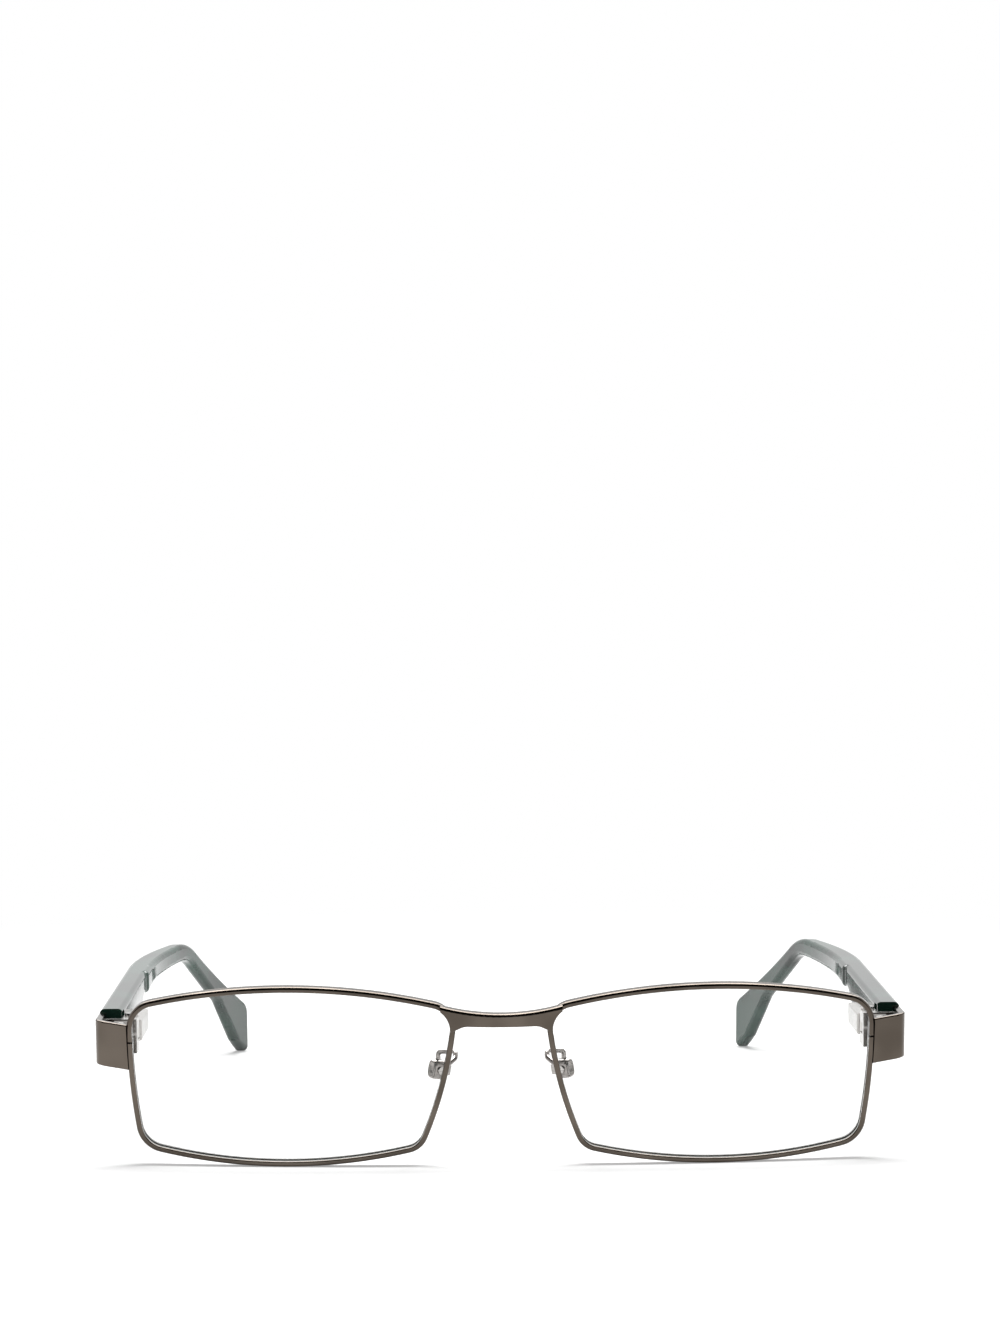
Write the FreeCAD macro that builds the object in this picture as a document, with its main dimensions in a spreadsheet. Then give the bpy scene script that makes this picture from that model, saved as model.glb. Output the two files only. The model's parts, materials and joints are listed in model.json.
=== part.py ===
import FreeCAD, Part
import Sketcher
import math
import os

from FreeCAD import Placement, Rotation, Vector

doc = FreeCAD.newDocument("eyeglasses")
UP = Vector(0, 0, 1)

# Driving dimensions in millimetres and degrees
DIMENSIONS = {
    # front: how it leans and the ball surface that rims and lenses follow
    "lean_angle": 7.0,
    "ball_radius": 132.0,
    "ball_centre_x": 26.3,
    "ball_centre_height": 16.2,
    # rim: line through the middle of the wire, in the plane of the front
    "nasal_top_x": 7.75,
    "nasal_top_height": 26.65,
    "temporal_top_x": 62.4,
    "temporal_top_height": 26.5,
    "temporal_low_x": 60.45,
    "temporal_low_height": 2.9,
    "nasal_low_x": 13.7,
    "nasal_low_height": 3.15,
    "top_bulge": 4.05,
    "temporal_bulge": 0.6,
    "low_bulge": 2.55,
    "nasal_bulge": 1.0,
    "nasal_top_corner": 4.2,
    "temporal_top_corner": 4.8,
    "temporal_low_corner": 4.4,
    "nasal_low_corner": 3.6,
    "rim_width": 0.95,
    "rim_depth": 2.1,
    "rim_outer_round": 0.46,
    "rim_inner_round": 0.2,
    "groove_depth": 0.35,
    "groove_width": 0.9,
    "rim_split": 0.3,
    # lens
    "lens_thickness": 1.9,
    "lens_gap": 0.03,
    # bridge
    "bridge_end_x": 10.2,
    "bridge_top_height": 26.55,
    "bridge_rise": 1.0,
    "bridge_height": 2.2,
    "bridge_low_x": 6.2,
    "bridge_foot_x": 8.7,
    "bridge_foot_drop": 1.3,
    "bridge_foot_round": 3.0,
    "bridge_depth": 2.1,
    "bridge_proud": 0.3,
    "bridge_arch": 1.5,
    "bridge_top_round": 0.5,
    "bridge_low_round": 0.2,
    # lug
    "lug_bottom": 17.15,
    "lug_height": 7.6,
    "lug_slant": 8.5,
    "lug_side_x": 68.25,
    "lug_thickness": 1.2,
    "lug_corner": 2.4,
    "lug_sweep": 0.9,
    "lug_edge_round": 0.25,
    "leg_end_y": 12.0,
    # closing blocks that hold the split rim shut
    "lock_inner_x": 62.25,
    "lock_outer_x": 65.2,
    "lock_depth": 3.0,
    "lock_block_height": 2.6,
    "lock_screw_x": 64.0,
    "lock_screw_radius": 0.6,
    "lock_head_radius": 1.0,
    "lock_head_height": 0.5,
    "lock_lap": 0.6,
    "screw_clearance": 0.04,
    "screw_slot": 0.3,
    # hinge
    "hinge_x": 62.85,
    "hinge_y": 13.0,
    "hinge_height": 21.3,
    "knuckle_radius": 1.3,
    "knuckle_height": 1.95,
    "eye_height": 1.8,
    "eye_gap": 0.05,
    "leaf_thickness": 1.5,
    "leaf_setback": 3.7,
    "hinge_screw_radius": 0.65,
    "hinge_head_radius": 1.15,
    "hinge_head_height": 0.4,
    # sprung slider in its case
    "case_start": 2.0,
    "case_length": 13.4,
    "bore_spare": 0.6,
    "shank_gap": 0.1,
    "case_inner_wall": 1.6,
    "case_outer_wall": 2.0,
    "case_height": 3.6,
    "case_edge_round": 0.35,
    "guide_length": 4.0,
    "guide_wall": 0.6,
    "slider_width": 1.8,
    "slider_gap": 0.05,
    "rod_radius": 0.45,
    "spring_bore_radius": 1.1,
    "spring_length": 6.0,
    "spring_wire_radius": 0.13,
    "spring_mean_radius": 0.8,
    "spring_turns": 9.0,
    "stop_radius": 0.95,
    "stop_length": 0.8,
    # temple
    "temple_gap": 0.3,
    "temple_thickness": 4.0,
    "tip_thickness": 3.0,
    "temple_top_front": 25.4,
    "temple_top_back": 26.0,
    "temple_bottom": 17.3,
    "temple_slim_height": 4.2,
    "bend_height": 3.3,
    "knee_start": 43.0,
    "knee_end": 55.0,
    "knee_round": 9.0,
    "bend_y": 101.0,
    "bend_round": 19.0,
    "bend_low_y": 101.6,
    "bend_low_round": 13.0,
    "tip_back_y": 131.2,
    "tip_back_height": 9.4,
    "tip_point_reach": 0.2,
    "tip_point_height": -0.985,
    "tip_low_inset": 4.8,
    "tip_low_height": 2.7,
    "tip_front_inset": 12.8,
    "tip_front_height": 11.7,
    "shoulder_y": 59.0,
    "shoulder_step": 0.5,
    "shoulder_run": 0.75,
    "shoulder_round": 1.2,
    "bow_start": 66.0,
    "bow_middle_y": 92.0,
    "bow_middle_x": 64.7,
    "bow_end_x": 51.6,
    "bow_overrun": 2.0,
    "temple_edge_round": 0.9,
    "tip_back_round": 3.0,
    "tip_point_round": 1.0,
    "tip_low_round": 2.5,
    "tip_front_round": 8.0,
    "hinge_notch_margin": 0.35,
    # wire core in the temple
    "core_start": 34.0,
    "core_end_inset": 10.0,
    "core_share": 0.3,
    "core_height": 1.6,
    # nose pads
    "pad_x": 8.8,
    "pad_setback": 9.0,
    "pad_height": 14.5,
    "pad_splay": 35.0,
    "pad_flare": 12.0,
    "pad_half_length": 6.5,
    "pad_half_width": 3.8,
    "pad_thickness": 1.8,
    "pad_edge_round": 0.7,
    "pad_box_gap": 0.5,
    "box_depth": 2.4,
    "box_width": 2.2,
    "box_length": 3.4,
    "box_wall": 0.35,
    "box_edge_round": 0.3,
    "boss_width": 1.3,
    "boss_length": 1.7,
    "boss_sunk": 0.8,
    "boss_reach": 0.7,
    "pivot_depth": 1.1,
    "pad_screw_radius": 0.35,
    "pad_screw_head": 0.65,
    "pad_screw_proud": 0.35,
    "arm_radius": 0.42,
    "arm_bend": 0.9,
    "arm_loop": 1.2,
    "arm_foot_height": 16.9,
    "arm_top_height": 18.7,
    "arm_reach_x": 7.7,
    "arm_drop": 1.5,
}


def make_sheet():
    sheet = doc.addObject("Spreadsheet::Sheet", "sizes")
    for row, (alias, value) in enumerate(DIMENSIONS.items(), start=1):
        sheet.set("A%d" % row, alias)
        sheet.set("B%d" % row, str(value))
        sheet.setAlias("B%d" % row, alias)
    doc.recompute()
    return sheet


SHEET = make_sheet()


def size(alias):
    return float(SHEET.get(alias))


def cell(text):
    """An expression on the sheet's cells, from words that name them."""
    return " ".join("sizes." + word if word in DIMENSIONS else word for word in text.split())


LEAN = math.radians(size("lean_angle"))
WIRE_HALF = size("rim_width") / 2
pieces = []


# Outlines from points, with round corners as arcs

def polar(centre, radius, towards):
    return centre + (towards - centre).normalize() * radius


def corner_arc(before, corner, after, radius):
    to_before = (before - corner).normalize()
    to_after = (after - corner).normalize()
    half = to_before.getAngle(to_after) / 2
    reach = radius / math.tan(half)
    inward = (to_before + to_after).normalize()
    middle = corner + inward * (radius / math.sin(half) - radius)
    return corner + to_before * reach, middle, corner + to_after * reach


def rounded(points, radii, closed=True):
    """Straight edges joined by tangent arcs; a radius of 0 leaves a corner sharp."""
    edges = []
    count = len(points)
    last = None
    first = None
    for index, corner in enumerate(points):
        inner = closed or 0 < index < count - 1
        if inner and radii[index] > 0:
            after = points[(index + 1) % count]
            start, middle, end = corner_arc(points[index - 1], corner, after, radii[index])
        else:
            start, middle, end = corner, None, corner
        if last is not None:
            edges.append(Part.LineSegment(last, start))
        if middle is not None:
            edges.append(Part.ArcOfCircle(start, middle, end))
        first = start if first is None else first
        last = end
    if closed:
        edges.append(Part.LineSegment(last, first))
    return edges


def wire_of(edges):
    return Part.Wire([edge.toShape() for edge in edges])


def prism(edges, direction):
    return Part.Face(wire_of(edges)).extrude(direction)


def tangent_chain(start, heading, ends):
    """Arcs one after another, each leaving in the direction the last one had."""
    edges = []
    for end in ends:
        chord = end - start
        turn = heading.cross(chord).z
        angle = math.asin(turn / chord.Length / heading.Length)
        half = Rotation(UP, math.degrees(angle / 2))
        middle = start + half.inverted().multVec(chord) * (0.5 / math.cos(angle / 2))
        edges.append(Part.ArcOfCircle(start, middle, end))
        heading = Rotation(UP, math.degrees(2 * angle)).multVec(heading)
        start = end
    return edges


# PartDesign helpers

def new_body(name, place):
    body = doc.addObject("PartDesign::Body", name)
    body.Label = name
    body.Placement = place
    return body


def sketch_on(body, role, name, geometry, offset=Vector(0, 0, 0)):
    """A sketch on one of the body's own planes, moved by an offset in that plane's own axes."""
    sketch = body.newObject("Sketcher::SketchObject", body.Name + "_" + name)
    plane = next(item for item in body.Origin.OriginFeatures if item.Role == role)
    sketch.AttachmentSupport = [(plane, "")]
    sketch.MapMode = "FlatFace"
    sketch.AttachmentOffset = Placement(offset, Rotation())
    sketch.addGeometry(geometry, False)
    return sketch


def named_constraint(sketch, name, kind, *values):
    sketch.addConstraint(Sketcher.Constraint(kind, *values))
    sketch.renameConstraint(sketch.ConstraintCount - 1, name)


def rectangle_on(body, role, name, width, height, offset=Vector(0, 0, 0)):
    """A rectangle about the sketch's origin, its width and height bound to the sheet."""
    corners = [Vector(-1, -1), Vector(1, -1), Vector(1, 1), Vector(-1, 1)]
    lines = [Part.LineSegment(corners[i], corners[(i + 1) % 4]) for i in range(4)]
    sketch = sketch_on(body, role, name, lines, offset)
    for i in range(4):
        sketch.addConstraint(Sketcher.Constraint("Coincident", i, 2, (i + 1) % 4, 1))
        sketch.addConstraint(Sketcher.Constraint("Horizontal" if i % 2 == 0 else "Vertical", i))
    sketch.addConstraint(Sketcher.Constraint("Symmetric", 0, 1, 1, 2, -1, 1))
    named_constraint(sketch, "width", "DistanceX", 0, 1, 0, 2, 2)
    named_constraint(sketch, "height", "DistanceY", 1, 1, 1, 2, 2)
    sketch.setExpression("Constraints.width", cell(width))
    sketch.setExpression("Constraints.height", cell(height))
    return sketch


def circle_on(body, role, name, radius, offset=Vector(0, 0, 0)):
    """A circle about the sketch's origin, its radius bound to the sheet."""
    sketch = sketch_on(body, role, name, [Part.Circle(Vector(0, 0, 0), UP, 1.0)], offset)
    sketch.addConstraint(Sketcher.Constraint("Coincident", 0, 3, -1, 1))
    named_constraint(sketch, "radius", "Radius", 0, 1.0)
    sketch.setExpression("Constraints.radius", cell(radius))
    return sketch


def pad(body, sketch, length, symmetric=False, turned=False):
    feature = body.newObject("PartDesign::Pad", sketch.Name + "_pad")
    feature.Profile = sketch
    feature.SideType = "Symmetric" if symmetric else "One side"
    feature.Reversed = turned
    feature.setExpression("Length", cell(length))
    return feature


def pocket(body, sketch, length=None, symmetric=False, turned=False):
    feature = body.newObject("PartDesign::Pocket", sketch.Name + "_pocket")
    feature.Profile = sketch
    feature.SideType = "Symmetric" if symmetric else "One side"
    feature.Reversed = turned
    if length is None:
        feature.Type = "ThroughAll"
    else:
        feature.setExpression("Length", cell(length))
    return feature


def fillet(body, radius, chosen):
    """Round the edges of the body's last feature that the test chooses."""
    doc.recompute()
    base = body.Tip
    names = ["Edge%d" % (i + 1) for i, edge in enumerate(base.Shape.Edges) if chosen(base.Shape, edge)]
    feature = body.newObject("PartDesign::Fillet", "%s_round_%d" % (body.Name, len(body.Group)))
    feature.Base = (base, names)
    feature.setExpression("Radius", cell(radius))
    return feature


def middle_of(edge):
    return edge.valueAt((edge.FirstParameter + edge.LastParameter) / 2)


def is_sharp(shape, edge):
    """True where the two faces beside an edge meet at an angle."""
    faces = shape.ancestorsOfType(edge, Part.Face)
    if len(faces) != 2:
        return False
    point = middle_of(edge)
    normals = [face.normalAt(*face.Surface.parameter(point)) for face in faces]
    return abs(normals[0].dot(normals[1])) < 0.9


def feature_of(name, shape, place=Placement()):
    item = doc.addObject("Part::Feature", name)
    item.Label = name
    item.Shape = shape
    item.Placement = place
    return item


def cut_from(name, base, tools):
    """The base less each tool in turn; the last result carries the name."""
    for index, tool in enumerate(tools):
        result = doc.addObject("Part::Cut", "%s_less_%d" % (name, index))
        result.Base = base
        result.Tool = tool
        base = result
    base.Label = name
    return base


def keep(item):
    pieces.append(item)
    return item


SIDES = (("right", 1), ("left", -1))


def mirrored(shape, side):
    return shape if side > 0 else shape.mirror(Vector(0, 0, 0), Vector(1, 0, 0))


def shoulder_screw(name, place, radius, length, head_radius, head_height):
    """A slotted screw about local Z, its shank centred on the origin and its head above."""
    body = new_body(name, place)
    half = size_of(length) / 2
    top = half + size(head_height)
    corners = [
        Vector(0, -half), Vector(size(radius), -half), Vector(size(radius), half),
        Vector(size(head_radius), half), Vector(size(head_radius), top), Vector(0, top),
    ]
    profile = sketch_on(body, "XZ_Plane", "profile", rounded(corners, [0] * len(corners)))
    turn = body.newObject("PartDesign::Revolution", name + "_turn")
    turn.Profile = profile
    turn.ReferenceAxis = (profile, ["V_Axis"])
    turn.Angle = 360
    slot = rectangle_on(body, "XY_Plane", "slot", "3 * " + head_radius, "screw_slot", Vector(0, 0, top))
    pocket(body, slot, head_height + " / 2")
    return keep(body)


def size_of(text):
    """The value of a short sum of the sheet's names."""
    total = 0.0
    sign = 1.0
    factor = 1.0
    for word in text.split():
        if word in "+-":
            sign = 1.0 if word == "+" else -1.0
        elif word in DIMENSIONS:
            total += sign * factor * size(word)
            factor = 1.0
        elif word != "*":
            factor = float(word)
    return total


# Front: rim outline, ball surface and placement

def ball_recess(x, height):
    """How far the ball surface lies behind its foremost point."""
    off_x = x - size("ball_centre_x")
    off_z = height - size("ball_centre_height")
    return size("ball_radius") - math.sqrt(size("ball_radius") ** 2 - off_x ** 2 - off_z ** 2)


def side_circle(start, end, bulge):
    """Centre and radius of the arc from start to end, clockwise round the lens, that bulges outward."""
    chord = (end - start).Length
    radius = (chord ** 2 / 4 + bulge ** 2) / (2 * bulge)
    middle = (start + end) / 2
    inward = Vector(0, 1, 0).cross(end - start).normalize()
    return middle + inward * (radius - bulge), radius


def meeting_centre(one, two, corner_radius, near):
    """Centre of the round corner that touches two side arcs from inside."""
    first, second = one[0], two[0]
    reach_one = one[1] - corner_radius
    reach_two = two[1] - corner_radius
    between = (second - first).Length
    along = (reach_one ** 2 - reach_two ** 2 + between ** 2) / (2 * between)
    aside = math.sqrt(reach_one ** 2 - along ** 2)
    direction = (second - first).normalize()
    across = Vector(0, 1, 0).cross(direction)
    choices = [first + direction * along + across * (sign * aside) for sign in (1, -1)]
    return min(choices, key=lambda point: (point - near).Length)


CORNER_NAMES = ("nasal_top", "temporal_top", "temporal_low", "nasal_low")
BULGE_NAMES = ("top_bulge", "temporal_bulge", "low_bulge", "nasal_bulge")


def side_circles():
    corners = [Vector(size(name + "_x"), 0, size(name + "_height")) for name in CORNER_NAMES]
    return corners, [side_circle(corners[i], corners[(i + 1) % 4], size(BULGE_NAMES[i])) for i in range(4)]


def rim_outline(offset):
    """The rim's line moved outward by an offset: four bulged sides and four round corners."""
    corners, arcs = side_circles()
    radii = [size(name + "_corner") for name in CORNER_NAMES]
    centres = [meeting_centre(arcs[i - 1], arcs[i], radii[i], corners[i]) for i in range(4)]
    edges = []
    for i in range(4):
        after = (i + 1) % 4
        centre, radius = arcs[i]
        start = polar(centre, radius + offset, centres[i])
        end = polar(centre, radius + offset, centres[after])
        edges.append(Part.ArcOfCircle(start, polar(centre, radius + offset, (start + end) / 2), end))
        turn = centres[after]
        onward = polar(arcs[after][0], arcs[after][1] + offset, turn)
        edges.append(Part.ArcOfCircle(end, polar(turn, radii[after] + offset, end + onward - turn), onward))
    return edges


def nasal_x(height):
    """Where the middle of the wire runs on the nasal side, at a height."""
    centre, radius = side_circles()[1][3]
    return centre.x - math.sqrt(radius ** 2 - (height - centre.z) ** 2)


def rim_prism(offset):
    reach = size("ball_radius") / 4
    solid = prism(rim_outline(offset), Vector(0, reach, 0))
    solid.translate(Vector(0, -reach / 4, 0))
    return solid


def ball(recess):
    """The ball whose surface lies a given distance behind the front of the rims."""
    radius = size("ball_radius")
    return Part.makeSphere(radius - recess, Vector(size("ball_centre_x"), radius, size("ball_centre_height")))


def between_balls(solid, front, back):
    return solid.common(ball(front)).cut(ball(back))


GROOVE_FRONT = (size("rim_depth") - size("groove_width")) / 2
GROOVE_BACK = GROOVE_FRONT + size("groove_width")
LENS_FRONT = (size("rim_depth") - size("lens_thickness")) / 2


def runs_round_wire(shape, edge):
    """True for an edge between a side wall of the wire and one of its ball faces."""
    kinds = [face.Surface.TypeId for face in shape.ancestorsOfType(edge, Part.Face)]
    return kinds.count("Part::GeomSphere") == 1


def ring_shape():
    """The wire bent round the lens, more rounded on its outer edges than on its inner ones."""
    ring = between_balls(rim_prism(WIRE_HALF), 0, size("rim_depth")).cut(rim_prism(-WIRE_HALF))
    inner_half = rim_prism(-WIRE_HALF / 2)
    for radius, is_inner in (("rim_outer_round", False), ("rim_inner_round", True)):
        edges = [edge for edge in ring.Edges if runs_round_wire(ring, edge)]
        edges = [edge for edge in edges if inner_half.isInside(middle_of(edge), WIRE_HALF / 4, True) == is_inner]
        ring = ring.makeFillet(size(radius), edges)
    return ring


RING = ring_shape()


# Bridge, in the frame of the leaning front

BRIDGE_LOW = size_of("bridge_top_height - bridge_height")


def bridge_front():
    """The bridge seen from the front: a hollow top, a flat underside and two flared feet."""
    end_x = size("bridge_end_x")
    top_end = size("bridge_top_height") + size("bridge_rise")
    low = BRIDGE_LOW
    foot = low - size("bridge_foot_drop")
    middle = Vector(0, 0, size("bridge_top_height"))
    top = Part.ArcOfCircle(Vector(-end_x, 0, top_end), middle, Vector(end_x, 0, top_end))
    half = [Vector(end_x, 0, top_end), Vector(end_x, 0, foot), Vector(size("bridge_foot_x"), 0, foot)]
    half.append(Vector(size("bridge_low_x"), 0, low))
    other = [Vector(-point.x, 0, point.z) for point in reversed(half)]
    round_feet = size("bridge_foot_round")
    radii = [0, 0, 0, round_feet, round_feet, 0, 0, 0]
    return [top] + rounded(half + other, radii, closed=False)


def bridge_plan():
    """The bridge seen from above: a bar that arches forward between the rims."""
    end_x = size("bridge_end_x")
    end_y = ball_recess(end_x, BRIDGE_LOW) - size("bridge_proud")
    depth = Vector(0, size("bridge_depth"), 0)
    start, middle = Vector(-end_x, end_y, 0), Vector(0, end_y - size("bridge_arch"), 0)
    end = Vector(end_x, end_y, 0)
    return [
        Part.ArcOfCircle(start, middle, end), Part.LineSegment(end, end + depth),
        Part.ArcOfCircle(end + depth, middle + depth, start + depth), Part.LineSegment(start + depth, start),
    ]


def lengthwise_edges(bar, low, high):
    """The bar's edges that run from side to side with their middle between two heights."""
    chosen = []
    for edge in bar.Edges:
        runs_across = abs(edge.Vertexes[0].X - edge.Vertexes[-1].X) > size("eye_gap")
        if runs_across and low < middle_of(edge).z < high:
            chosen.append(edge)
    return chosen


def bridge_shape():
    bar = prism(bridge_front(), Vector(0, size("lug_side_x"), 0))
    bar.translate(Vector(0, -size("lug_side_x") / 2, 0))
    bar = bar.common(prism(bridge_plan(), Vector(0, 0, size("lug_side_x"))))
    middle = BRIDGE_LOW + size("bridge_height") / 2
    bar = bar.makeFillet(size("bridge_top_round"), lengthwise_edges(bar, middle, math.inf))
    lowest = BRIDGE_LOW + size("bridge_low_round") / 2
    bar = bar.makeFillet(size("bridge_low_round"), lengthwise_edges(bar, -math.inf, lowest))
    for _, side in SIDES:
        bar = bar.cut(mirrored(rim_prism(-WIRE_HALF), side)).cut(mirrored(RING, side))
    return max(bar.Solids, key=lambda solid: solid.Volume)


BRIDGE = bridge_shape()


# Temple seen from the side

TEMPLE_FRONT = size_of("leg_end_y + temple_gap")


def top_height(y):
    """Height of the temple's straight top edge."""
    share = (y - TEMPLE_FRONT) / (size("bend_y") - TEMPLE_FRONT)
    return size("temple_top_front") + share * (size("temple_top_back") - size("temple_top_front"))


def temple_side_view():
    knee_start, knee_end = size("knee_start"), size("knee_end")
    knee_low = top_height(knee_end) - size("temple_slim_height")
    bend_low = top_height(size("bend_low_y")) - size("bend_height")
    points = [
        (TEMPLE_FRONT, size("temple_top_front")), (size("bend_y"), size("temple_top_back")),
        (size("tip_back_y"), size("tip_back_height")),
        (size_of("tip_back_y + tip_point_reach"), size("tip_point_height")),
        (size_of("tip_back_y - tip_low_inset"), size("tip_low_height")),
        (size_of("tip_back_y - tip_front_inset"), size("tip_front_height")),
        (size("bend_low_y"), bend_low), (knee_end, knee_low),
        (knee_start, size("temple_bottom")), (TEMPLE_FRONT, size("temple_bottom")),
    ]
    radii = [
        0, size("bend_round"), size("tip_back_round"), size("tip_point_round"), size("tip_low_round"),
        size("tip_front_round"), size("bend_low_round"), size("knee_round"), size("knee_round"), 0,
    ]
    return rounded([Vector(y, z) for y, z in points], radii)


# Where the leaning front and the level temples stand

def leaning(lift, shift):
    return Placement(Vector(0, shift, lift), Rotation(Vector(1, 0, 0), size("lean_angle")))


def standing_bounds():
    """Bounds of the leaning front before it is set on the floor and centred front to back."""
    front = Part.makeCompound([RING, BRIDGE])
    front.Placement = leaning(0, 0)
    return front.optimalBoundingBox(False, False)


# The lowest point of the rims is on the floor, and the origin is midway from front to tips
TEMPLE_END = Part.Face(wire_of(temple_side_view())).BoundBox.XMax
LIFT = -standing_bounds().ZMin
SHIFT = -(standing_bounds().YMin + TEMPLE_END) / 2
FRONT = leaning(LIFT, SHIFT)
LEVEL = Placement(Vector(0, SHIFT, 0), Rotation())


def front_height(height, recess):
    """Height along the leaning front of a point that lies at a height over the floor."""
    return (height - LIFT - recess * math.sin(LEAN)) / math.cos(LEAN)


LUG_MIDDLE = size("lug_bottom") + size("lug_height") / 2
LUG_RECESS = ball_recess(size("temporal_top_x"), LUG_MIDDLE)
SPLIT_HEIGHT = front_height(LUG_MIDDLE, LUG_RECESS)


def rim_shape():
    groove = between_balls(rim_prism(size("groove_depth") - WIRE_HALF), GROOVE_FRONT, GROOVE_BACK)
    split = Part.makeBox(size("lug_side_x") - size("temporal_low_x"), size("ball_radius"), size("rim_split"))
    split.translate(Vector(size("temporal_low_x"), 0, SPLIT_HEIGHT - size("rim_split") / 2))
    return RING.cut(groove).cut(split)


def lens_shape():
    gap = size("lens_gap")
    plate = between_balls(rim_prism(-WIRE_HALF - gap), LENS_FRONT, size("rim_depth") - LENS_FRONT)
    tongue = rim_prism(size("groove_depth") - WIRE_HALF - gap)
    tongue = between_balls(tongue, GROOVE_FRONT + gap, GROOVE_BACK - gap)
    return plate.fuse(tongue).removeSplitter()


def make_rims_and_lenses():
    rim = rim_shape()
    lens = lens_shape()
    for name, side in SIDES:
        keep(feature_of("rim_" + name, mirrored(rim, side), FRONT))
        keep(feature_of("lens_" + name, mirrored(lens, side), FRONT))


# Lug, closing blocks and their screw

def lug_plan(side):
    """The lug seen from above, from its outer corner: across from the rim, round and back along the side."""
    wall = size("lug_thickness")
    front_y = LUG_RECESS * math.cos(LEAN) - front_height(size("lug_bottom"), LUG_RECESS) * math.sin(LEAN)
    corner_y = front_y + size("lug_sweep")
    back_y = size("leg_end_y") + size("lug_height")
    start_x = size("lock_inner_x") - size("lug_side_x")
    corner = size("lug_corner")
    points = [
        (start_x, front_y), (0, corner_y), (0, back_y),
        (-wall, back_y), (-wall, corner_y + wall), (start_x, front_y + wall),
    ]
    stretch = side / math.cos(math.radians(size("lug_slant")))
    return rounded([Vector(stretch * x, y) for x, y in points], [0, corner, 0, 0, corner - wall, 0])


def make_lug(name, side):
    slanted = Rotation(Vector(0, 1, 0), -side * size("lug_slant"))
    corner = Placement(Vector(side * size("lug_side_x"), 0, size("lug_bottom")), slanted)
    body = new_body("lug_blank_" + name, LEVEL.multiply(corner))
    plate = pad(body, sketch_on(body, "XY_Plane", "plan", lug_plan(side)), "lug_height")
    plate.UseCustomVector = True
    plate.Direction = slanted.inverted().multVec(Vector(0, -math.tan(LEAN), 1))
    plate.AlongSketchNormal = True
    past = Vector(0, 0, -size("leg_end_y"))
    trim = rectangle_on(body, "XZ_Plane", "leg_end", "lug_side_x", "4 * lug_height", past)
    pocket(body, trim, turned=False)

    def is_level(shape, edge):
        height = middle_of(edge).z
        return is_sharp(shape, edge) and min(height, size("lug_height") - height) < size("lug_edge_round")

    fillet(body, "lug_edge_round", is_level)
    window = feature_of("lens_window_" + name, mirrored(rim_prism(WIRE_HALF), side), FRONT)
    return keep(cut_from("lug_" + name, body, [window]))


def make_closing_blocks(name, side, lug):
    ring = feature_of("ring_" + name, mirrored(RING, side), FRONT)
    height = size("lock_block_height")
    gap = size("rim_split")
    depth_start = LUG_RECESS + size("lug_thickness") - size("lock_lap")
    width = size("lock_outer_x") - size("lock_inner_x")
    bore = doc.addObject("Part::Cylinder", "lock_bore_" + name)
    bore.setExpression("Radius", cell("lock_screw_radius + screw_clearance"))
    bore.setExpression("Height", cell("4 * lock_block_height"))
    screw_y = depth_start + size("lock_lap") + size("lock_depth") / 2
    axis = Vector(side * size("lock_screw_x"), screw_y, SPLIT_HEIGHT)
    bore.Placement = FRONT.multiply(Placement(axis - UP * (2 * height), Rotation()))
    for word, low in (("upper", SPLIT_HEIGHT + gap / 2), ("lower", SPLIT_HEIGHT - gap / 2 - height)):
        box = doc.addObject("Part::Box", "rim_lock_%s_%s_box" % (word, name))
        box.setExpression("Length", cell("lock_outer_x - lock_inner_x"))
        box.setExpression("Width", cell("lock_depth + lock_lap"))
        box.setExpression("Height", cell("lock_block_height"))
        corner_x = size("lock_inner_x") if side > 0 else -size("lock_inner_x") - width
        box.Placement = FRONT.multiply(Placement(Vector(corner_x, depth_start, low), Rotation()))
        keep(cut_from("rim_lock_%s_%s" % (word, name), box, [ring, lug, bore]))
    screw = Placement(axis, Rotation(Vector(1, 0, 0), 180))
    shoulder_screw("rim_lock_screw_" + name, FRONT.multiply(screw), "lock_screw_radius",
                   "2 * lock_block_height + rim_split", "lock_head_radius", "lock_head_height")


# Hinge: leaf on the lug, screw, sprung slider and its case

HINGE = Vector(size("hinge_x"), size("hinge_y"), size("hinge_height"))
BORE_START = size_of("case_start + guide_length + guide_wall")
SHANK_END = size_of("case_start + guide_length - shank_gap")


def hinge_place(side):
    return LEVEL.multiply(Placement(Vector(side * HINGE.x, HINGE.y, HINGE.z), Rotation()))


def make_hinge_leaf(name, side):
    body = new_body("hinge_leaf_" + name, hinge_place(side))
    radius = size("knuckle_radius")
    near, far = -size("leaf_setback"), -size("leaf_setback") - size("leaf_thickness")
    wall_x = size("lug_side_x") - size("lug_thickness") - size("hinge_x")
    corners = [(radius, 0), (radius, near), (wall_x, near), (wall_x, far), (-radius, far), (-radius, 0)]
    points = [Vector(side * x, y) for x, y in corners]
    edges = [Part.LineSegment(points[i], points[i + 1]) for i in range(len(points) - 1)]
    edges.append(Part.ArcOfCircle(points[-1], Vector(0, radius), points[0]))
    plan = sketch_on(body, "XY_Plane", "plan", edges)
    pad(body, plan, "eye_height + 2 * eye_gap + 2 * knuckle_height", True)
    slot_middle = Vector((near + 2 * radius) / 2, 0, 0)
    slot_length, slot_height = "leaf_setback + 2 * knuckle_radius", "eye_height + 2 * eye_gap"
    slot = rectangle_on(body, "YZ_Plane", "slot", slot_length, slot_height, slot_middle)
    pocket(body, slot, "4 * knuckle_radius", True)
    bore = circle_on(body, "XY_Plane", "bore", "hinge_screw_radius + screw_clearance")
    pocket(body, bore, "4 * eye_height + 4 * knuckle_height", True)
    return keep(body)


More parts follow.
